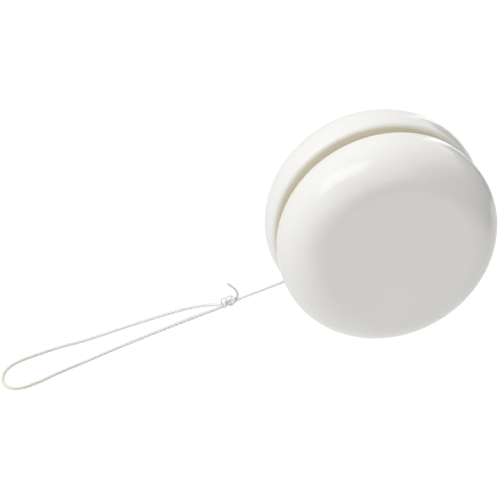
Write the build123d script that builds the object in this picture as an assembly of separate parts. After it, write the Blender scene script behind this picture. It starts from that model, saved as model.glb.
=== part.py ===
from build123d import *
import math
import os

# Yo-yo: two hollow moulded halves on a steel axle, with a cotton string wound between them.
# Millimetres. The axle lies along Y and its mid-point is the origin, +Z is up.
# The yo-yo stands on its two rims, so the surface under it is at z = -outer_radius.
# The front half is on the -Y side, and the string leaves the gap towards -X.

# Driving dimensions of the two halves
outer_radius = 28.5          # largest radius of the rims
half_thickness = 16.0        # from the middle of the gap to a flat face
gap_half = 1.95              # half the width of the string gap
rim_offset = 6.4             # from the middle of the gap to the largest radius
rim_crown_radius = 16.0      # gentle crown between the rim's largest radius and the gap
rim_edge_fillet = 1.4        # rounded edge where the rim turns into the gap
wall = 2.2                   # wall of the domed face
cavity_radius = 23.5         # inside of the thick rim
plate_radius = 24.5          # hub plate, set into the gap side of its shell
plate_thickness = 2.0
plate_clearance = 0.05       # glue clearance around the hub plate

# Hub, axle and sleeve
boss_radius = 4.5
boss_end = 13.3              # the boss stops just short of the inside of the domed face
collar_clearance = 0.1
collar_wall = 1.4
collar_height = 2.2
rib_count = 6
rib_width = 1.2
rib_reach = 15.0
rib_height = 7.0
spigot_wall = 1.2
spigot_height = 2.0
axle_radius = 1.5
axle_half_length = 12.0
axle_chamfer = 0.3
sleeve_radius = 3.0
sleeve_seat = 0.4            # the sleeve is let into each hub plate by this much

# String
string_diameter = 0.85       # limp, in the finger loop
taut_diameter = 0.65         # pulled tight, between the winding and the knot
tail_diameter = 0.6
winding_radius = 6.2         # outside of the wound turns
winding_width = 3.2
winding_clearance = 0.05     # between the wound turns and the sleeve
run_radius = 5.85            # where the straight run leaves the outermost turn
run_slope = math.radians(15.9)
run_length = 40.2
knot_length = 5.4
knot_diameter = 2.4
knot_offset = 2.9            # from the end of the run to the middle of the knot

# Route of the finger loop, from the knot along its far side, round the tip and back
loop_route = [
    (-41.6, 0.4, -18.0),
    (-44.3, 2.6, -18.9),
    (-48.3, 4.35, -20.0),
    (-56.5, 5.45, -22.15),
    (-66.5, 6.75, -25.2),
    (-75.8, 7.2, -27.75),
    (-82.5, 6.3, -28.05),
    (-88.6, 4.35, -28.05),
    (-94.3, 2.3, -28.05),
    (-97.8, -0.5, -28.05),
    (-99.6, -4.6, -28.05),
    (-99.1, -8.2, -28.05),
    (-96.4, -9.9, -28.05),
    (-91.8, -8.6, -28.05),
    (-84.9, -5.0, -28.05),
    (-78.3, -2.2, -28.05),
    (-72.0, -0.9, -26.75),
    (-60.5, -0.1, -23.65),
    (-50.0, -0.15, -20.45),
    (-41.9, -0.5, -18.1),
]

# Route of the cut end that stands out of the knot
tail_route = [
    (-38.3, 0.1, -17.0),
    (-37.4, 0.3, -16.2),
    (-37.3, 1.0, -15.1),
    (-38.1, 1.8, -14.2),
    (-39.4, 2.6, -13.4),
]

os.makedirs("parts", exist_ok=True)


def save(name, shape):
    export_step(shape, f"parts/{name}.step")


def annulus(inner, outer, low, high):
    """A ring about the Y axis, from y = low to y = high."""
    with BuildPart() as ring:
        with BuildSketch(Plane.XY):
            with Locations(((inner + outer) / 2, (low + high) / 2)):
                Rectangle(outer - inner, high - low)
        revolve(axis=Axis.Y)
    return ring.part


def disc(radius, low, high):
    """A solid disc about the Y axis, from y = low to y = high."""
    with BuildPart() as plug:
        with BuildSketch(Plane.XY):
            with Locations((radius / 2, (low + high) / 2)):
                Rectangle(radius, high - low)
        revolve(axis=Axis.Y)
    return plug.part


def shell():
    """The rear shell: a dome with a thick rim, open on its gap side, with a collar for the boss."""
    shoulder = half_thickness - rim_offset
    shoulder_centre = outer_radius - shoulder
    crown_centre = outer_radius - rim_crown_radius
    fillet_y = gap_half + rim_edge_fillet
    reach = rim_crown_radius - rim_edge_fillet
    fillet_x = crown_centre + math.sqrt(reach**2 - (rim_offset - fillet_y) ** 2)
    lean = math.atan2(rim_offset - fillet_y, fillet_x - crown_centre)

    def on_crown(angle):
        return (
            crown_centre + rim_crown_radius * math.cos(angle),
            rim_offset - rim_crown_radius * math.sin(angle),
        )

    def on_fillet(angle):
        return (
            fillet_x + rim_edge_fillet * math.cos(angle),
            fillet_y - rim_edge_fillet * math.sin(angle),
        )

    def on_shoulder(radius, angle):
        return (
            shoulder_centre + radius * math.cos(angle),
            rim_offset + radius * math.sin(angle),
        )

    quarter = math.pi / 2
    inner = shoulder - wall
    inner_angle = math.acos((cavity_radius - shoulder_centre) / inner)
    inner_face = half_thickness - wall
    ledge = gap_half + plate_thickness
    with BuildPart() as dome:
        with BuildSketch(Plane.XY):
            with BuildLine():
                Polyline((0, inner_face), (0, half_thickness), (shoulder_centre, half_thickness))
                ThreePointArc(
                    (shoulder_centre, half_thickness),
                    on_shoulder(shoulder, quarter / 2),
                    (outer_radius, rim_offset),
                )
                ThreePointArc((outer_radius, rim_offset), on_crown(lean / 2), on_crown(lean))
                ThreePointArc(
                    on_crown(lean), on_fillet((lean + quarter) / 2), (fillet_x, gap_half)
                )
                Polyline(
                    (fillet_x, gap_half),
                    (plate_radius, gap_half),
                    (plate_radius, ledge),
                    (cavity_radius, ledge),
                    on_shoulder(inner, inner_angle),
                )
                ThreePointArc(
                    on_shoulder(inner, inner_angle),
                    on_shoulder(inner, (inner_angle + quarter) / 2),
                    (shoulder_centre, inner_face),
                )
                Line((shoulder_centre, inner_face), (0, inner_face))
            make_face()
        revolve(axis=Axis.Y)
    collar_inner = boss_radius + collar_clearance
    collar = annulus(
        collar_inner, collar_inner + collar_wall, inner_face - collar_height, inner_face + 0.1
    )
    return dome.part + collar


def hub_plate():
    """The rear hub plate: gap wall, boss for the axle, ribs, and a spigot ring inside the shell."""
    back = gap_half + plate_thickness
    plate = disc(plate_radius - plate_clearance, gap_half, back)
    plate += disc(boss_radius, back - 0.1, boss_end)
    spigot_outer = cavity_radius - collar_clearance
    plate += annulus(spigot_outer - spigot_wall, spigot_outer, back - 0.1, back + spigot_height)
    with BuildPart() as rib:
        with BuildSketch(Plane.XY):
            with BuildLine():
                Polyline(
                    (boss_radius - 0.5, back - 0.1),
                    (rib_reach, back - 0.1),
                    (rib_reach, back + 1.0),
                    (boss_radius - 0.5, back + rib_height),
                    (boss_radius - 0.5, back - 0.1),
                )
            make_face()
        extrude(amount=rib_width / 2, both=True)
    for n in range(rib_count):
        plate += rib.part.rotate(Axis.Y, 360 / rib_count * n)
    plate -= disc(axle_radius, gap_half - 1, axle_half_length)
    plate -= disc(sleeve_radius, gap_half - 1, gap_half + sleeve_seat)
    return plate


def front(shape):
    """The mirror image of a rear piece, on the other side of the gap."""
    return shape.mirror(Plane.XZ)


def axle_pin():
    with BuildPart() as pin:
        with BuildSketch(Plane.XY):
            with BuildLine():
                Polyline(
                    (0, -axle_half_length),
                    (axle_radius - axle_chamfer, -axle_half_length),
                    (axle_radius, -axle_half_length + axle_chamfer),
                    (axle_radius, axle_half_length - axle_chamfer),
                    (axle_radius - axle_chamfer, axle_half_length),
                    (0, axle_half_length),
                    (0, -axle_half_length),
                )
            make_face()
        revolve(axis=Axis.Y)
    return pin.part


def axle_sleeve():
    end = gap_half + sleeve_seat
    return annulus(axle_radius, sleeve_radius, -end, end)


def cord_tube(points, diameter, name):
    """A round tube along straight runs joined by the largest tangent arcs that the runs allow."""
    path = [Vector(*p) for p in points]
    radii = []
    for before, at, after in zip(path, path[1:], path[2:]):
        turn = math.radians((at - before).get_angle(after - at))
        shorter = min((at - before).length, (after - at).length)
        radii.append(0.45 * shorter / math.tan(turn / 2))
    wire = FilletPolyline(*path, radius=radii)
    start = Plane(origin=path[0], z_dir=path[1] - path[0])
    tube = sweep(start * Circle(diameter / 2), path=wire)
    print(name, "length", round(wire.length, 1), "radii", [round(r, 1) for r in radii])
    print(name, "volume ratio", round(tube.volume / (math.pi / 4 * diameter**2 * wire.length), 4))
    return tube


def string_winding():
    """The outer shape of the wound turns on the sleeve."""
    return annulus(
        sleeve_radius + winding_clearance, winding_radius, -winding_width / 2, winding_width / 2
    )


# The run leaves the winding's underside at a tangent and slopes down to the knot
run_direction = Vector(-math.cos(run_slope), 0, -math.sin(run_slope))
run_start = Vector(run_radius * math.sin(run_slope), 0, -run_radius * math.cos(run_slope))
run_end = run_start + run_direction * run_length
knot_centre = run_end + run_direction * knot_offset


def string_run():
    start = Plane(origin=run_start, z_dir=run_direction)
    return extrude(start * Circle(taut_diameter / 2), amount=run_length + 1.0)


def string_knot():
    """An egg-shaped body that stands for the overhand knot."""
    with BuildPart() as knot:
        with BuildSketch(Plane.XY):
            with BuildLine():
                EllipticalCenterArc(
                    (0, 0), knot_diameter / 2, knot_length / 2, start_angle=-90, arc_size=180
                )
                Line((0, knot_length / 2), (0, -knot_length / 2))
            make_face()
        revolve(axis=Axis.Y)
    along = Plane(origin=knot_centre, x_dir=Vector(0, 1, 0), z_dir=run_direction)
    return along * (Rotation(90, 0, 0) * knot.part)


rear_shell = shell()
rear_hub_plate = hub_plate()
save("rear_shell", rear_shell)
save("front_shell", front(rear_shell))
save("rear_hub_plate", rear_hub_plate)
save("front_hub_plate", front(rear_hub_plate))
save("axle_pin", axle_pin())
save("axle_sleeve", axle_sleeve())
save("string_winding", string_winding())
save("string_run", string_run())
save("string_knot", string_knot())
save("finger_loop", cord_tube(loop_route, string_diameter, "finger_loop"))
save("knot_tail", cord_tube(tail_route, tail_diameter, "knot_tail"))
print("knot centre", knot_centre, "run end", run_end)
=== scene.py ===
"""A white two-half yo-yo with its wound cotton string and knotted finger loop, in metres."""

import math
import random

import bpy
import numpy as np
from mathutils import Matrix, Vector


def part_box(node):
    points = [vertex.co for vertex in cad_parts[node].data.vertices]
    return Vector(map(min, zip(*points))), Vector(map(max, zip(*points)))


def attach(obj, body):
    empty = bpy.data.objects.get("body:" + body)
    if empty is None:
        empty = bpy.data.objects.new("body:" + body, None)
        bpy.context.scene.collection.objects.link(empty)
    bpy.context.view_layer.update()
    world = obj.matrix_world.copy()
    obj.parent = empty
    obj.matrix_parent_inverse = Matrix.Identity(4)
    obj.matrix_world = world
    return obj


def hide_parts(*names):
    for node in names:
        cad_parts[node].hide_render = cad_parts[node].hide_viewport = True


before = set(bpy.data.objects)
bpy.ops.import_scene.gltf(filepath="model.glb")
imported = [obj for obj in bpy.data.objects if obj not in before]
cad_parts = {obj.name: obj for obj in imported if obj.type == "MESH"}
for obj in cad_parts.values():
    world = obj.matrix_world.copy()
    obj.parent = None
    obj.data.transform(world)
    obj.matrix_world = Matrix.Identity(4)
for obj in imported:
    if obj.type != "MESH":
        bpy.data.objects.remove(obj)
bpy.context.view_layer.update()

MM = 0.001
random.seed(7)

# ---------------------------------------------------------------- places taken from the frame

shell_low, shell_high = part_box("front_shell")
body_radius = shell_high.x
floor_height = shell_low.z
gap_half = -shell_high.y
sleeve_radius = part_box("axle_sleeve")[1].x
yoyo_centre = Vector((0.0, 0.0, 0.0))

# ---------------------------------------------------------------- camera

CAMERA_AZIMUTH = math.radians(-14.1)
CAMERA_ELEVATION = math.radians(31.7)
CAMERA_DISTANCE = 0.7
CAMERA_LENS = 198.3
# The view is aimed beside the yo-yo, so that the string is in the picture too
AIM_RIGHT = -0.0332
AIM_UP = -0.0065


def make_camera():
    back = Vector(
        (
            math.sin(CAMERA_AZIMUTH) * math.cos(CAMERA_ELEVATION),
            -math.cos(CAMERA_AZIMUTH) * math.cos(CAMERA_ELEVATION),
            math.sin(CAMERA_ELEVATION),
        )
    )
    right = Vector((math.cos(CAMERA_AZIMUTH), math.sin(CAMERA_AZIMUTH), 0.0))
    up = back.cross(right)
    data = bpy.data.cameras.new("camera")
    data.lens = CAMERA_LENS
    data.sensor_width = 36.0
    data.clip_start = 0.01
    data.clip_end = 100.0
    camera = bpy.data.objects.new("camera", data)
    camera.location = yoyo_centre + back * CAMERA_DISTANCE + right * AIM_RIGHT + up * AIM_UP
    camera.rotation_mode = "QUATERNION"
    camera.rotation_quaternion = (-back).to_track_quat("-Z", "Y")
    bpy.context.scene.collection.objects.link(camera)
    bpy.context.scene.camera = camera


make_camera()

# ---------------------------------------------------------------- string: sizes and route

# Diameters over the plies; the grooves between them make the string a tenth thinner on average
TAUT_DIAMETER = 0.00068
LOOP_DIAMETER = 0.00086
LOOP_START_DIAMETER = LOOP_DIAMETER + 0.0001
LOOSE_TWIST_DIAMETER = 0.0011
KNOT_DIAMETER = 0.00088
KNOT_MIDDLE_DIAMETER = 0.00095
TAIL_DIAMETER = 0.00058
LOOSE_PLY_DIAMETER = 0.0003

PLIES = 3
PLY_CENTRE = 0.40            # a ply's middle, as a share of the string's radius
PLY_RADIUS = 0.60            # a ply's radius, as a share of the string's radius
LAY_DIAMETERS = 3.1          # length of one twist, in diameters of the string
RING_SIDES = 18
COARSE_STEP = 0.0003         # between the rings of the wound turns
FINE_STEP = 0.00018          # between the other rings

# Wound turns: how many lie side by side in each layer, from the sleeve outwards
LAYER_TURNS = (4, 3, 4, 3, 4)
POINTS_PER_TURN = 16
TURN_PITCH = 0.00078
LAYER_PITCH = 0.00061
FIRST_LAYER_OUT = 0.6        # from the sleeve to the first layer's middle, in diameters
RADIUS_PLAY = 0.04 * MM
SIDE_PLAY = 0.06 * MM

# The straight run from the outermost turn to the knot
RUN_RADIUS = 0.00585
RUN_SLOPE = math.radians(15.9)
RUN_LENGTH = 0.0402
RUN_STARTS_STRAIGHT = 6      # diameters from its start
RUN_ENDS_STRAIGHT = 3        # diameters before its end
KNOT_OFFSET = 0.0029         # from the run's end to the knot's middle

# The knot's two strands: degrees at which each enters and leaves, millimetres where its wrap
# starts and ends along the knot
INWARD_STRAND = (270, 350, 1.35, -0.5)
OUTWARD_STRAND = (90, 190, 0.35, -2.0)
WRAP_STEPS = 8
WRAP_OUT = 0.74              # millimetres from the knot's middle
WRAP_LEAD = 55               # degrees
WRAP_TURN = 330              # degrees
KNOT_MIDDLE_PLACES = (-1.9, -0.2, 1.5)

LOOP_ROUTE = [
    (-0.0416, 0.0004, -0.0180),
    (-0.0443, 0.0026, -0.0189),
    (-0.0483, 0.00435, -0.0200),
    (-0.0565, 0.00545, -0.02215),
    (-0.0665, 0.00675, -0.0252),
    (-0.0758, 0.0072, -0.02775),
    (-0.0825, 0.0063, -0.0280),
    (-0.0886, 0.00435, -0.0280),
    (-0.0943, 0.0023, -0.0280),
    (-0.0978, -0.0005, -0.0280),
    (-0.0996, -0.0046, -0.0280),
    (-0.0991, -0.0082, -0.0280),
    (-0.0964, -0.0099, -0.0280),
    (-0.0918, -0.0086, -0.0280),
    (-0.0849, -0.0050, -0.0280),
    (-0.0783, -0.0022, -0.0280),
    (-0.0720, -0.0009, -0.02675),
    (-0.0605, -0.0001, -0.02365),
    (-0.0500, -0.00015, -0.02045),
    (-0.0419, -0.0005, -0.0181),
]

TAIL_ROUTE = [
    (-0.0383, 0.0001, -0.0170),
    (-0.0374, 0.0003, -0.0162),
    (-0.0373, 0.0010, -0.0151),
    (-0.0381, 0.0018, -0.0142),
    (-0.0394, 0.0026, -0.0134),
]

LOOSE_PLY_ROUTE = [
    (-0.0415, -0.0003, -0.0178),
    (-0.0418, -0.0004, -0.0171),
    (-0.04195, -0.0004, -0.0159),
    (-0.0417, -0.0003, -0.0157),
    (-0.0407, -0.0002, -0.0158),
    (-0.0399, -0.0002, -0.0154),
    (-0.0391, -0.0002, -0.0153),
    (-0.0389, -0.0002, -0.0156),
    (-0.0394, -0.0004, -0.0162),
    (-0.0403, -0.0006, -0.0163),
    (-0.0408, -0.0006, -0.0168),
    (-0.0410, -0.0004, -0.0176),
]

run_along = Vector((-math.cos(RUN_SLOPE), 0.0, -math.sin(RUN_SLOPE)))
run_up = Vector((-math.sin(RUN_SLOPE), 0.0, math.cos(RUN_SLOPE)))
run_side = Vector((0.0, 1.0, 0.0))
run_start = Vector((RUN_RADIUS * math.sin(RUN_SLOPE), 0.0, -RUN_RADIUS * math.cos(RUN_SLOPE)))
run_end = run_start + run_along * RUN_LENGTH
knot_centre = run_start + run_along * (RUN_LENGTH + KNOT_OFFSET)


def wound_turns():
    """Control points of the turns on the sleeve, from the inner end to where the run leaves."""
    first_radius = sleeve_radius + FIRST_LAYER_OUT * TAUT_DIAMETER
    radii, sides = [], []
    for layer, turns in enumerate(LAYER_TURNS):
        radius = first_radius + layer * LAYER_PITCH
        places = [(i - (turns - 1) / 2) * TURN_PITCH for i in range(turns)]
        if layer % 2:
            places.reverse()
        for side in places:
            radii.append(radius + random.uniform(-RADIUS_PLAY, RADIUS_PLAY))
            sides.append(side + random.uniform(-SIDE_PLAY, SIDE_PLAY))
    radii.append(RUN_RADIUS)
    sides.append(0.0)
    count = sum(LAYER_TURNS) * POINTS_PER_TURN
    half_step = math.pi / POINTS_PER_TURN
    outside = 1 / math.cos(half_step)
    points = []
    for i in range(count + 1):
        turn = i / POINTS_PER_TURN
        angle = RUN_SLOPE - half_step + (count - i) * 2 * half_step
        radius = float(np.interp(turn, range(len(radii)), radii)) * outside
        side = float(np.interp(turn, range(len(sides)), sides))
        points.append(Vector((radius * math.sin(angle), side, -radius * math.cos(angle))))
    return points


def knot_point(along, out, turn):
    """A point of the knot: millimetres along it and out from its middle, degrees about it."""
    a = math.radians(turn)
    return (
        knot_centre
        + run_along * (along * MM)
        + run_side * (out * MM * math.cos(a))
        + run_up * (out * MM * math.sin(a))
    )


def knot_strand(first_turn, last_turn, wrap_start, wrap_end):
    """One strand through the knot, from the run's end to the loop's end: in, round, and out."""
    points = [
        knot_point(-1.9, 0.32, first_turn),
        knot_point(-0.4, 0.28, first_turn),
        knot_point(wrap_start - 0.25, 0.38, first_turn),
    ]
    for i in range(WRAP_STEPS + 1):
        t = i / WRAP_STEPS
        along = wrap_start + t * (wrap_end - wrap_start)
        points.append(knot_point(along, WRAP_OUT, first_turn - WRAP_LEAD - WRAP_TURN * t))
    points += [
        knot_point(wrap_end + 0.7, 0.42, last_turn),
        knot_point(wrap_end + 1.6, 0.30, last_turn),
        knot_point(2.1, 0.34, last_turn),
    ]
    return points


def string_route():
    """Control points of the whole string: turns, run, knot, loop, knot again, and cut end."""
    route = wound_turns()
    route.append(run_start + run_along * (RUN_STARTS_STRAIGHT * TAUT_DIAMETER))
    route.append(run_start + run_along * (RUN_LENGTH - RUN_ENDS_STRAIGHT * TAUT_DIAMETER))
    route.append(run_end)
    route += knot_strand(*INWARD_STRAND)
    route += [Vector(p) for p in LOOP_ROUTE]
    route += reversed(knot_strand(*OUTWARD_STRAND))
    route += [Vector(p) for p in TAIL_ROUTE]
    return route


# ---------------------------------------------------------------- string: line and meshes


def nurbs_curve(name, control, resolution):
    curve = bpy.data.curves.new(name, "CURVE")
    curve.dimensions = "3D"
    spline = curve.splines.new("NURBS")
    spline.points.add(len(control) - 1)
    for point, place in zip(spline.points, control):
        point.co = (*place, 1.0)
    spline.order_u = 3
    spline.use_endpoint_u = True
    spline.resolution_u = resolution
    return curve


def mesh_of(curve):
    """The curve as a mesh. The curve itself is removed."""
    holder = bpy.data.objects.new("holder", curve)
    mesh = bpy.data.meshes.new_from_object(holder)
    bpy.data.objects.remove(holder)
    bpy.data.curves.remove(curve)
    return mesh


def smooth_line(control):
    """Points along the NURBS spline that the control points give."""
    mesh = mesh_of(nurbs_curve("route", control, 10))
    line = np.array([v.co[:] for v in mesh.vertices])
    bpy.data.meshes.remove(mesh)
    return line


def lengths_along(line):
    """The length of the line from its start to each of its points."""
    return np.concatenate([[0.0], np.cumsum(np.linalg.norm(np.diff(line, axis=0), axis=1))])


def respaced(line, fine_from):
    """The line with new points, which lie closer beyond the length fine_from, and their places."""
    along = lengths_along(line)
    places, at = [], 0.0
    while at < along[-1]:
        places.append(at)
        at += COARSE_STEP if at < fine_from else FINE_STEP
    places.append(along[-1])
    spaced = np.stack([np.interp(places, along, line[:, k]) for k in range(3)], axis=1)
    return spaced, np.array(places)


def carried_frames(line):
    """Two unit vectors across the line at each point, carried along it without twist."""
    tangents = np.gradient(line, axis=0)
    tangents /= np.linalg.norm(tangents, axis=1)[:, None]
    first = np.cross(tangents[0], (0.0, 1.0, 0.3))
    first /= np.linalg.norm(first)
    across = [first]
    for tangent in tangents[1:]:
        carried = across[-1] - tangent * np.dot(across[-1], tangent)
        across.append(carried / np.linalg.norm(carried))
    across = np.array(across)
    return across, np.cross(tangents, across)


def ply_outline(angle):
    """Distance from the middle of the string to its surface, as a share of its radius."""
    within = (angle + math.pi / PLIES) % (2 * math.pi / PLIES) - math.pi / PLIES
    sideways = PLY_CENTRE * math.sin(within)
    return PLY_CENTRE * math.cos(within) + math.sqrt(PLY_RADIUS**2 - sideways**2)


def cotton_piece(name, mesh):
    """A visible piece of the string, carried by its body."""
    piece = bpy.data.objects.new(name, mesh)
    bpy.context.scene.collection.objects.link(piece)
    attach(piece, "string")
    return piece


class String:
    """The whole string as one line of rings, from which its pieces are cut."""

    def __init__(self, control, sizes):
        """sizes are pairs of a point near the string and the string's diameter there."""
        line = smooth_line(control)
        along = lengths_along(line)
        ends = [np.linalg.norm(line - np.array(place), axis=1).argmin() for place, _ in sizes]
        self.stops = [along[end] for end in ends]
        self.centres, self.places = respaced(line, self.stops[0])
        self.radii = np.interp(self.places, self.stops, [size for _, size in sizes]) / 2
        self.across, self.up = carried_frames(self.centres)
        lay = LAY_DIAMETERS * 2 * self.radii
        self.twist = np.concatenate(
            [[0.0], np.cumsum(np.diff(self.places) * 2 * math.pi / lay[1:])]
        )

    def rings(self, start, end):
        """The numbers of the rings from one place along the string to another."""
        first = int(np.searchsorted(self.places, start))
        last = int(np.searchsorted(self.places, end))
        return range(first, min(last, len(self.places) - 1) + 1)

    def ring(self, i):
        """The corners of one ring round the string."""
        corners = []
        for k in range(RING_SIDES):
            angle = 2 * math.pi * k / RING_SIDES
            reach = ply_outline(angle) * self.radii[i]
            a = angle + self.twist[i]
            corners.append(
                self.centres[i] + reach * (math.cos(a) * self.across[i] + math.sin(a) * self.up[i])
            )
        return corners

    def piece(self, name, *spans):
        """A mesh of one closed tube for each span, with UVs in turns and millimetres."""
        vertices, faces, marks = [], [], []
        for span in spans:
            base = len(vertices)
            for i in span:
                vertices += [tuple(corner) for corner in self.ring(i)]
                marks += [self.places[i] / MM] * RING_SIDES
            rows = len(span)
            for row in range(rows - 1):
                for k in range(RING_SIDES):
                    n = (k + 1) % RING_SIDES
                    low, high = base + row * RING_SIDES, base + (row + 1) * RING_SIDES
                    faces.append((low + k, low + n, high + n, high + k))
            last = base + (rows - 1) * RING_SIDES
            faces.append(tuple(base + k for k in reversed(range(RING_SIDES))))
            faces.append(tuple(last + k for k in range(RING_SIDES)))
        mesh = bpy.data.meshes.new(name)
        mesh.from_pydata(vertices, [], faces)
        mesh.shade_smooth()
        mesh.set_sharp_from_angle(angle=math.radians(80))
        add_string_uvs(mesh, marks)
        return cotton_piece(name, mesh)

    def path(self, span):
        return [tuple(self.centres[i]) for i in span]

    def length(self, span):
        return float(self.places[span[-1]] - self.places[span[0]])


def add_string_uvs(mesh, marks):
    """UVs of the rings: U once round the string, V the marks along it."""
    uv = mesh.uv_layers.new(name="string")
    for polygon in mesh.polygons:
        corners = [mesh.loops[i].vertex_index for i in polygon.loop_indices]
        around = [c % RING_SIDES for c in corners]
        wraps = 0 in around and RING_SIDES - 1 in around
        for loop, corner in zip(polygon.loop_indices, corners):
            k = corner % RING_SIDES
            if wraps and k == 0:
                k = RING_SIDES
            uv.data[loop].uv = (k / RING_SIDES, marks[corner])


def round_yarn(name, route, diameter):
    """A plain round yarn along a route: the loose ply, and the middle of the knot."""
    curve = nurbs_curve(name, route, 8)
    curve.bevel_depth = diameter / 2
    curve.bevel_resolution = 3
    curve.use_fill_caps = True
    mesh = mesh_of(curve)
    mesh.name = name
    mesh.shade_smooth()
    return cotton_piece(name, mesh)


def declare_cord(string, span):
    round(string.length(span), 4)
    string.path(span)


# ---------------------------------------------------------------- string: loose fibres

FUZZ_PER_MM = 4.0
FUZZ_LENGTHS = (0.3, 1.0)            # millimetres
FUZZ_ON_WINDING = 0.15               # metres of the outer turns that have fuzz
FRAYED_FIBRES = 26
FRAYED_LENGTHS = (0.25, 0.75)        # millimetres
FIBRE_RADIUS = 0.000012
FRAYED_RADIUS = 1.8 * FIBRE_RADIUS
FIBRE_STEPS = 4
FIBRE_SIDES = 3
FIBRE_THINNING = 0.7                 # share of its thickness that a fibre loses to its end
CLEAR_OF_WALLS = 0.95                # share of the gap's half width that fibres may fill


def fibre(start, first_way, last_way, length, radius):
    """Corners and faces of one fine curved fibre, thinning to its end."""
    corners, faces = [], []
    place = np.array(start)
    aside = np.cross(first_way, last_way)
    if np.linalg.norm(aside) < 1e-6:
        aside = np.cross(first_way, (0.3, 0.5, 0.8))
    aside = aside / np.linalg.norm(aside)
    for i in range(FIBRE_STEPS + 1):
        t = i / FIBRE_STEPS
        way = (1 - t) * first_way + t * last_way
        way = way / np.linalg.norm(way)
        other = np.cross(way, aside)
        thickness = radius * (1 - FIBRE_THINNING * t)
        for k in range(FIBRE_SIDES):
            a = 2 * math.pi * k / FIBRE_SIDES
            corners.append(tuple(place + thickness * (math.cos(a) * aside + math.sin(a) * other)))
        place = place + way * length / FIBRE_STEPS
    for i in range(FIBRE_STEPS):
        low, high = FIBRE_SIDES * i, FIBRE_SIDES * (i + 1)
        for k in range(FIBRE_SIDES):
            n = (k + 1) % FIBRE_SIDES
            faces.append((low + k, low + n, high + n, high + k))
    end = FIBRE_SIDES * FIBRE_STEPS
    faces += [(2, 1, 0), (end, end + 1, end + 2)]
    return corners, faces


def stays_in_gap(corners):
    """True if none of these points comes near the walls of the gap between the halves."""
    return max(abs(corner[1]) for corner in corners) < CLEAR_OF_WALLS * gap_half


def fuzz_fibres(string, span, dice):
    """Fine loose fibres that stand out along the string."""
    fibres = []
    for _ in range(int(string.length(span) / MM * FUZZ_PER_MM)):
        i = int(dice.integers(span[0], span[-1] - 1))
        angle = dice.uniform(0, 2 * math.pi)
        out = math.cos(angle) * string.across[i] + math.sin(angle) * string.up[i]
        along = string.centres[i + 1] - string.centres[i]
        along = along / np.linalg.norm(along) * dice.choice((-1, 1))
        start = string.centres[i] + 0.8 * string.radii[i] * out
        first_way = out + dice.uniform(0.5, 1.8) * along + dice.normal(0, 0.3, 3)
        last_way = dice.uniform(-0.4, 0.8) * out + along + dice.normal(0, 0.4, 3)
        length = dice.uniform(*FUZZ_LENGTHS) * MM
        new = fibre(start, first_way, last_way, length, FIBRE_RADIUS)
        if np.linalg.norm(start) > body_radius or stays_in_gap(new[0]):
            fibres.append(new)
    return fibres


def frayed_fibres(string, dice):
    """The brush of fibres at the string's cut end."""
    fibres = []
    end = string.centres[-1]
    onward = end - string.centres[-4]
    onward = onward / np.linalg.norm(onward)
    for _ in range(FRAYED_FIBRES):
        angle = dice.uniform(0, 2 * math.pi)
        out = math.cos(angle) * string.across[-1] + math.sin(angle) * string.up[-1]
        start = end + dice.uniform(0.1, 0.8) * string.radii[-1] * out - 0.1 * MM * onward
        last_way = onward + dice.uniform(0.0, 0.8) * out
        length = dice.uniform(*FRAYED_LENGTHS) * MM
        fibres.append(fibre(start, onward, last_way, length, FRAYED_RADIUS))
    return fibres


def fibre_piece(name, fibres):
    """All the fibres as one piece."""
    vertices, faces = [], []
    for corners, sides in fibres:
        faces.extend(tuple(len(vertices) + corner for corner in side) for side in sides)
        vertices.extend(corners)
    mesh = bpy.data.meshes.new(name)
    mesh.from_pydata(vertices, [], faces)
    mesh.shade_smooth()
    return cotton_piece(name, mesh)


# ---------------------------------------------------------------- string: the pieces

STRING_SIZES = [
    (run_start, TAUT_DIAMETER),
    (run_end, TAUT_DIAMETER),
    (LOOP_ROUTE[0], KNOT_DIAMETER),
    (LOOP_ROUTE[2], LOOP_START_DIAMETER),
    (LOOP_ROUTE[4], LOOP_DIAMETER),
    (LOOP_ROUTE[-4], LOOP_DIAMETER),
    (LOOP_ROUTE[-2], LOOSE_TWIST_DIAMETER),
    (LOOP_ROUTE[-1], KNOT_DIAMETER),
    (TAIL_ROUTE[0], TAIL_DIAMETER),
    (TAIL_ROUTE[-1], TAIL_DIAMETER),
]


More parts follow.
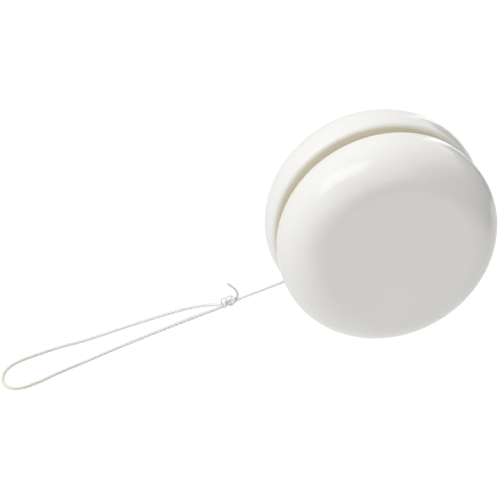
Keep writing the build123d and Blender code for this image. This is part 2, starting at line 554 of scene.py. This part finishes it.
def make_string():
    """All the pieces of the string."""
    string = String(string_route(), STRING_SIZES)
    winding_end = string.stops[0]
    knot_at, loop_at, back_at, tail_at = [string.stops[i] for i in (1, 2, -3, -2)]
    taut = string.rings(0.0, knot_at)
    inward = string.rings(knot_at, loop_at)
    loop = string.rings(loop_at, back_at)
    outward = string.rings(back_at, tail_at)
    tail = string.rings(tail_at, string.places[-1])

    taut_piece = string.piece("wound_and_taut_string", taut)
    knot_piece = string.piece("overhand_knot", inward, outward)
    loop_piece = string.piece("finger_loop_string", loop)
    tail_piece = string.piece("cut_end", tail)
    loose_ply = round_yarn("loose_ply", LOOSE_PLY_ROUTE, LOOSE_PLY_DIAMETER)
    middle_route = [knot_point(along, 0.0, 0) for along in KNOT_MIDDLE_PLACES]
    knot_middle = round_yarn("knot_middle", middle_route, KNOT_MIDDLE_DIAMETER)

    dice = np.random.default_rng(11)
    outer_turns_and_run = string.rings(winding_end - FUZZ_ON_WINDING, knot_at)
    fuzz = []
    for span in (outer_turns_and_run, inward, outward, tail):
        fuzz += fuzz_fibres(string, span, dice)
    run_fuzz = fibre_piece("run_and_knot_fuzz", fuzz + frayed_fibres(string, dice))
    loop_fuzz = fibre_piece("loop_fuzz", fuzz_fibres(string, loop, dice))

    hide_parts("string_winding", "string_run")
    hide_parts("string_knot")
    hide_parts("finger_loop")
    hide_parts("knot_tail")
    knot_pieces = [knot_piece, tail_piece, loose_ply, knot_middle, run_fuzz]
    declare_cord(string, taut)
    declare_cord(string, loop)
    return [taut_piece, loop_piece, *knot_pieces, loop_fuzz]


string_pieces = make_string()

# ---------------------------------------------------------------- materials

GAP_TINT_FADES = (0.02 * MM, 0.2 * MM)     # past the gap's walls, along the axle
LOOP_TINT_FADES = (-0.084, -0.092)         # along X, towards the loop's tip


def shown(sockets):
    """The sockets that a node uses with its present settings."""
    return [socket for socket in sockets if socket.enabled]


class Nodes:
    """A short way to write a node tree."""

    def __init__(self, tree):
        self.tree = tree

    def add(self, kind, **settings):
        node = self.tree.nodes.new(kind)
        for key, value in settings.items():
            setattr(node, key, value)
        return node

    def feed(self, socket, value):
        """Gives a socket another node's output, or a value of its own."""
        if isinstance(value, bpy.types.NodeSocket):
            self.tree.links.new(value, socket)
        else:
            socket.default_value = value

    def maths(self, operation, first, second=0.0):
        node = self.add("ShaderNodeMath", operation=operation)
        self.feed(node.inputs[0], first)
        self.feed(node.inputs[1], second)
        return node.outputs["Value"]

    def axis(self, vector, name):
        node = self.add("ShaderNodeSeparateXYZ")
        self.feed(node.inputs["Vector"], vector)
        return node.outputs[name]

    def mapped(self, source, limits=(0.0, 1.0), results=(0.0, 1.0), shape="LINEAR"):
        """The results at the two limits of the source, and what lies between them."""
        node = self.add("ShaderNodeMapRange", interpolation_type=shape)
        node.inputs["From Min"].default_value = limits[0]
        node.inputs["From Max"].default_value = limits[1]
        node.inputs["To Min"].default_value = results[0]
        node.inputs["To Max"].default_value = results[1]
        self.feed(node.inputs["Value"], source)
        return node.outputs["Result"]

    def mixed(self, share, first, second, kind="RGBA", blend="MIX"):
        node = self.add("ShaderNodeMix", data_type=kind, blend_type=blend)
        for socket, value in zip(shown(node.inputs), (share, first, second)):
            self.feed(socket, value)
        return shown(node.outputs)[0]


class Surface(Nodes):
    """The node tree of a new material."""

    def __init__(self, name):
        self.material = bpy.data.materials.new(name)
        self.material.use_nodes = True
        super().__init__(self.material.node_tree)
        self.shader = self.tree.nodes["Principled BSDF"]

    def give(self, name, value):
        """Sets one of the shader's own sockets."""
        self.feed(self.shader.inputs[name], value)

    def place(self):
        return self.add("ShaderNodeTexCoord").outputs["Object"]

    def noise(self, scale, detail=3.0, roughness=0.5):
        node = self.add("ShaderNodeTexNoise")
        node.inputs["Scale"].default_value = scale
        node.inputs["Detail"].default_value = detail
        node.inputs["Roughness"].default_value = roughness
        self.feed(node.inputs["Vector"], self.place())
        return node.outputs["Fac"]

    def ramp(self, source, *stops):
        """Colours at positions of the source."""
        node = self.add("ShaderNodeValToRGB")
        band = node.color_ramp
        while len(band.elements) < len(stops):
            band.elements.new(0.5)
        for element, (position, colour) in zip(band.elements, stops):
            element.position = position
            element.color = (*colour, 1.0)
        self.feed(node.inputs["Fac"], source)
        return node.outputs["Color"]

    def across_ply(self):
        """1 along the crest of each ply of the string, and 0 in the grooves between them."""
        turns = self.axis(self.add("ShaderNodeUVMap", uv_map="string").outputs["UV"], "X")
        plies = self.maths("MULTIPLY", turns, float(PLIES))
        off_crest = self.maths("PINGPONG", plies, 0.5)
        return self.mapped(off_crest, (0.0, 0.5), (1.0, 0.0))

    def gap_shade_and_matte(self):
        """1 on the walls of the gap between the halves, and 0 from the rims outwards."""
        distance = self.maths("ABSOLUTE", self.axis(self.place(), "Y"))
        limits = [gap_half + past for past in GAP_TINT_FADES]
        return self.mapped(distance, limits, (1.0, 0.0), "SMOOTHSTEP")

    def bump(self, height, distance, strength):
        node = self.add("ShaderNodeBump")
        node.inputs["Distance"].default_value = distance
        node.inputs["Strength"].default_value = strength
        self.feed(node.inputs["Height"], height)
        self.give("Normal", node.outputs["Normal"])


def shell_plastic():
    """Glossy off-white plastic, a little duller on the walls of the gap, where a creamier tint is
    painted shade.
    """
    m = Surface("shell_plastic")
    m.give("IOR", 1.57)
    m.give("Subsurface Weight", 0.1)
    m.give("Subsurface Radius", (1.0, 0.8, 0.55))
    m.give("Subsurface Scale", 0.001)
    white = m.ramp(m.noise(90.0), (0.3, (0.868, 0.858, 0.825)), (0.7, (0.885, 0.877, 0.848)))
    # The cream on the gap's walls is painted shade: the warm tone of the shade deep in the narrow
    # gap.
    cream = m.ramp(m.noise(140.0), (0.3, (0.87, 0.81, 0.68)), (0.7, (0.89, 0.84, 0.72)))
    inner = m.gap_shade_and_matte()
    m.give("Base Color", m.mixed(inner, white, cream))
    gloss = m.mapped(m.noise(160.0, 4.0), results=(0.13, 0.19))
    dull = m.mapped(m.noise(160.0, 4.0), results=(0.35, 0.45))
    m.give("Roughness", m.mixed(inner, gloss, dull, "FLOAT"))
    m.bump(m.noise(420.0, 2.0), 0.00002, 0.25)
    return m.material


def hub_plastic():
    m = Surface("hub_plastic")
    m.give("IOR", 1.5)
    colour = m.ramp(m.noise(120.0), (0.3, (0.83, 0.81, 0.75)), (0.7, (0.86, 0.845, 0.79)))
    m.give("Base Color", colour)
    m.give("Roughness", m.mapped(m.noise(200.0, 4.0), results=(0.3, 0.42)))
    m.bump(m.noise(600.0, 3.0), 0.00003, 0.4)
    return m.material


def axle_steel():
    m = Surface("axle_steel")
    m.give("Metallic", 1.0)
    colour = m.ramp(m.noise(300.0), (0.3, (0.55, 0.55, 0.56)), (0.7, (0.66, 0.66, 0.67)))
    m.give("Base Color", colour)
    m.give("Roughness", m.mapped(m.noise(900.0, 4.0), results=(0.25, 0.4)))
    return m.material


def sleeve_plastic():
    m = Surface("sleeve_plastic")
    m.give("IOR", 1.53)
    colour = m.ramp(m.noise(300.0), (0.3, (0.80, 0.79, 0.74)), (0.7, (0.84, 0.83, 0.79)))
    m.give("Base Color", colour)
    m.give("Roughness", m.mapped(m.noise(500.0, 4.0), results=(0.4, 0.55)))
    return m.material


def string_cotton(name, dark, light):
    """Twisted cotton between the colours of its darkest and its lightest fibres."""
    m = Surface(name)
    m.give("Sheen Weight", 0.3)
    m.give("Sheen Roughness", 0.5)
    m.give("Roughness", 0.85)
    near_tip = m.mapped(m.axis(m.place(), "X"), LOOP_TINT_FADES)
    cotton = m.ramp(m.noise(2500.0, 4.0), (0.25, dark), (0.75, light))
    cream = m.ramp(m.noise(2500.0, 4.0), (0.25, (0.88, 0.83, 0.71)), (0.75, (0.96, 0.93, 0.85)))
    colour = m.mixed(near_tip, cotton, cream)
    # The grooves between the plies are darkened in colour: painted shade.
    groove_shade = m.ramp(m.across_ply(), (0.0, (0.84, 0.84, 0.84)), (0.5, (1.0, 1.0, 1.0)))
    m.give("Base Color", m.mixed(1.0, colour, groove_shade, blend="MULTIPLY"))
    m.bump(m.noise(6000.0, 4.0, 0.6), 0.00008, 0.6)
    return m.material


SHARP_ANGLE = math.radians(35)


def dress(node, material):
    """Gives a frame node its material and smooth shading between its sharp edges."""
    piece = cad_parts[node]
    piece.data.materials.clear()
    piece.data.materials.append(material)
    piece.data.shade_smooth()
    piece.data.set_sharp_from_angle(angle=SHARP_ANGLE)
    normals = piece.modifiers.new("weighted_normals", "WEIGHTED_NORMAL")
    normals.keep_sharp = True


plastic = shell_plastic()
hub = hub_plastic()
for node in ("front_shell", "rear_shell"):
    dress(node, plastic)
for node in ("front_hub_plate", "rear_hub_plate"):
    dress(node, hub)
dress("axle_pin", axle_steel())
dress("axle_sleeve", sleeve_plastic())
cotton = string_cotton("string_cotton", (0.88, 0.88, 0.89), (0.95, 0.95, 0.955))
# The cut end and the loose ply get a darker copy of the same cotton: painted shade.
shaded_cotton = string_cotton("shaded_cotton", (0.68, 0.68, 0.70), (0.81, 0.81, 0.82))
for piece in string_pieces:
    shaded = piece.name in ("cut_end", "loose_ply")
    piece.data.materials.append(shaded_cotton if shaded else cotton)

# ---------------------------------------------------------------- floor

FLOOR_REACH = 8.0
FLOOR_GLOW = 0.9
FLOOR_GREY = 0.15
FLAT_SHARE = 0.8             # of the floor's reach, before it bends up
BEND_SHARE = 0.2             # radius of the bend, as a share of the floor's reach
ARC_STEPS = 24
BACKDROP_SIDES = 48


def backdrop_material():
    m = Surface("backdrop")
    m.give("Base Color", (FLOOR_GREY, FLOOR_GREY, FLOOR_GREY, 1.0))
    m.give("Roughness", 1.0)
    m.give("Specular IOR Level", 0.0)
    m.give("Emission Color", (1.0, 1.0, 1.0, 1.0))
    m.give("Emission Strength", FLOOR_GLOW)
    return m.material


def backdrop_outline():
    """Reach and height of each ring of the backdrop: flat floor, bend, and dome."""
    outline = [(FLAT_SHARE, 0.0)]
    for i in range(1, ARC_STEPS + 1):
        a = math.radians(90 * i / ARC_STEPS)
        outline.append((FLAT_SHARE + BEND_SHARE * math.sin(a), BEND_SHARE * (1 - math.cos(a))))
    for i in range(1, ARC_STEPS):
        a = math.radians(90 * i / ARC_STEPS)
        outline.append((math.cos(a), BEND_SHARE + math.sin(a)))
    return [(FLOOR_REACH * reach, FLOOR_REACH * height) for reach, height in outline]


def make_backdrop():
    """A white floor that curves up into a white dome, overexposed as in a product picture.

    Only the camera sees it. The light that reaches the yo-yo comes from the world and the lamps.
    """
    sides = BACKDROP_SIDES
    outline = backdrop_outline()
    vertices = [(0.0, 0.0, floor_height)]
    for reach, height in outline:
        for k in range(sides):
            turn = 2 * math.pi * k / sides
            vertices.append(
                (reach * math.cos(turn), reach * math.sin(turn), floor_height + height)
            )
    vertices.append((0.0, 0.0, floor_height + (1 + BEND_SHARE) * FLOOR_REACH))
    faces = [(0, 1 + k, 1 + (k + 1) % sides) for k in range(sides)]
    for i in range(len(outline) - 1):
        low, high = 1 + i * sides, 1 + (i + 1) * sides
        for k in range(sides):
            n = (k + 1) % sides
            faces.append((low + k, high + k, high + n, low + n))
    last = 1 + (len(outline) - 1) * sides
    faces += [(last + k, len(vertices) - 1, last + (k + 1) % sides) for k in range(sides)]
    mesh = bpy.data.meshes.new("backdrop")
    mesh.from_pydata(vertices, [], faces)
    mesh.shade_smooth()
    mesh.materials.append(backdrop_material())
    backdrop = bpy.data.objects.new("backdrop", mesh)
    bpy.context.scene.collection.objects.link(backdrop)
    backdrop.visible_diffuse = False
    backdrop.visible_glossy = False
    backdrop.visible_transmission = False
    backdrop.visible_shadow = False


# ---------------------------------------------------------------- light

# The studio round the yo-yo: its mean brightness, and how it grows towards a direction
STUDIO_LEVEL = 0.915
STUDIO_LEAN = (0.06, -0.10, -0.03)
# Bright and dark patches of the studio: direction, half width and soft edge in degrees, colour
STUDIO_PATCHES = [
    ((0.55, -0.35, -0.75), 15.0, 25.0, (1.15, 1.15, 1.15)),
    ((0.76, 0.56, 0.33), 7.0, 6.0, (1.6, 1.57, 1.52)),
    ((0.78, -0.58, 0.20), 15.0, 25.0, (0.10, 0.095, 0.09)),
    ((0.97, -0.07, -0.05), 19.0, 8.0, (0.05, 0.04, 0.03)),
    ((0.90, -0.42, 0.00), 12.0, 6.0, (0.03, 0.025, 0.02)),
    ((0.90, 0.40, 0.02), 16.0, 4.0, (0.01, 0.01, 0.01)),
    ((0.78, 0.62, -0.06), 15.0, 2.5, (0.02, 0.02, 0.02)),
]
# A dark strip of the far room in front. It fades in and out with height, and to both sides;
# the limits are sines of the height, and cosines of the angle from its middle
FAR_ROOM_BELOW = (-0.56, -0.42)
FAR_ROOM_ABOVE = (0.0, 0.14)
FAR_ROOM_TOWARDS = (0.35, -0.94, 0.0)
FAR_ROOM_SIDES = (0.1, 0.7)
FAR_ROOM_COLOUR = (0.06, 0.045, 0.03)


class Studio(Nodes):
    """The node tree of the world, whose colour depends on the direction."""

    def __init__(self):
        world = bpy.data.worlds.new("studio")
        world.use_nodes = True
        bpy.context.scene.world = world
        super().__init__(world.node_tree)
        self.direction = self.add("ShaderNodeTexCoord").outputs["Generated"]

    def towards(self, direction):
        node = self.add("ShaderNodeVectorMath", operation="DOT_PRODUCT")
        self.feed(node.inputs[0], self.direction)
        self.feed(node.inputs[1], direction)
        return node.outputs["Value"]

    def rise(self, source, limits):
        """0 below the limits, 1 above them, and smooth between."""
        return self.mapped(source, limits, shape="SMOOTHSTEP")


def make_world():
    w = Studio()
    level = w.maths("ADD", w.towards(STUDIO_LEAN), STUDIO_LEVEL)
    grey = w.add("ShaderNodeCombineColor")
    for socket in grey.inputs[:3]:
        w.feed(socket, level)
    height = w.towards((0.0, 0.0, 1.0))
    under = w.maths("SUBTRACT", 1.0, w.rise(height, FAR_ROOM_ABOVE))
    strip = w.maths("MULTIPLY", w.rise(height, FAR_ROOM_BELOW), under)
    facing = w.rise(w.towards(FAR_ROOM_TOWARDS), FAR_ROOM_SIDES)
    far_room = w.maths("MULTIPLY", strip, facing)
    colour = w.mixed(far_room, grey.outputs["Color"], (*FAR_ROOM_COLOUR, 1.0))
    for towards, half_width, edge, patch in STUDIO_PATCHES:
        outer = math.cos(math.radians(half_width + edge))
        inner = math.cos(math.radians(half_width))
        share = w.rise(w.towards(Vector(towards).normalized()), (outer, inner))
        colour = w.mixed(share, colour, (*patch, 1.0))
    w.feed(w.tree.nodes["Background"].inputs["Color"], colour)


LIGHT_DISTANCE = 2.5


def soft_light(name, first_end, second_end, width, brightness):
    """A straight soft light between two directions from the yo-yo, at LIGHT_DISTANCE."""
    ends = [Vector(first_end).normalized(), Vector(second_end).normalized()]
    middle = (ends[0] + ends[1]).normalized()
    length = (ends[1] - ends[0]).length * LIGHT_DISTANCE
    across = width * LIGHT_DISTANCE
    data = bpy.data.lights.new(name, "AREA")
    data.shape = "RECTANGLE"
    data.size = length
    data.size_y = across
    data.energy = brightness * math.pi * length * across
    light = bpy.data.objects.new(name, data)
    light.location = yoyo_centre + middle * LIGHT_DISTANCE
    long_way = (ends[1] - ends[0]).normalized()
    other_way = middle.cross(long_way)
    axes = np.array([long_way, other_way, middle]).T
    light.rotation_mode = "QUATERNION"
    light.rotation_quaternion = Matrix(axes.tolist()).to_quaternion()
    light.visible_camera = False
    bpy.context.scene.collection.objects.link(light)


make_backdrop()
make_world()
soft_light("key_light", (-0.84, 0.02, 0.53), (-0.12, -0.33, 0.93), width=0.54, brightness=1.75)
soft_light("back_light", (0.53, 0.75, 0.38), (0.45, 0.86, -0.22), width=0.08, brightness=0.9)

bpy.context.scene.view_settings.view_transform = "Standard"
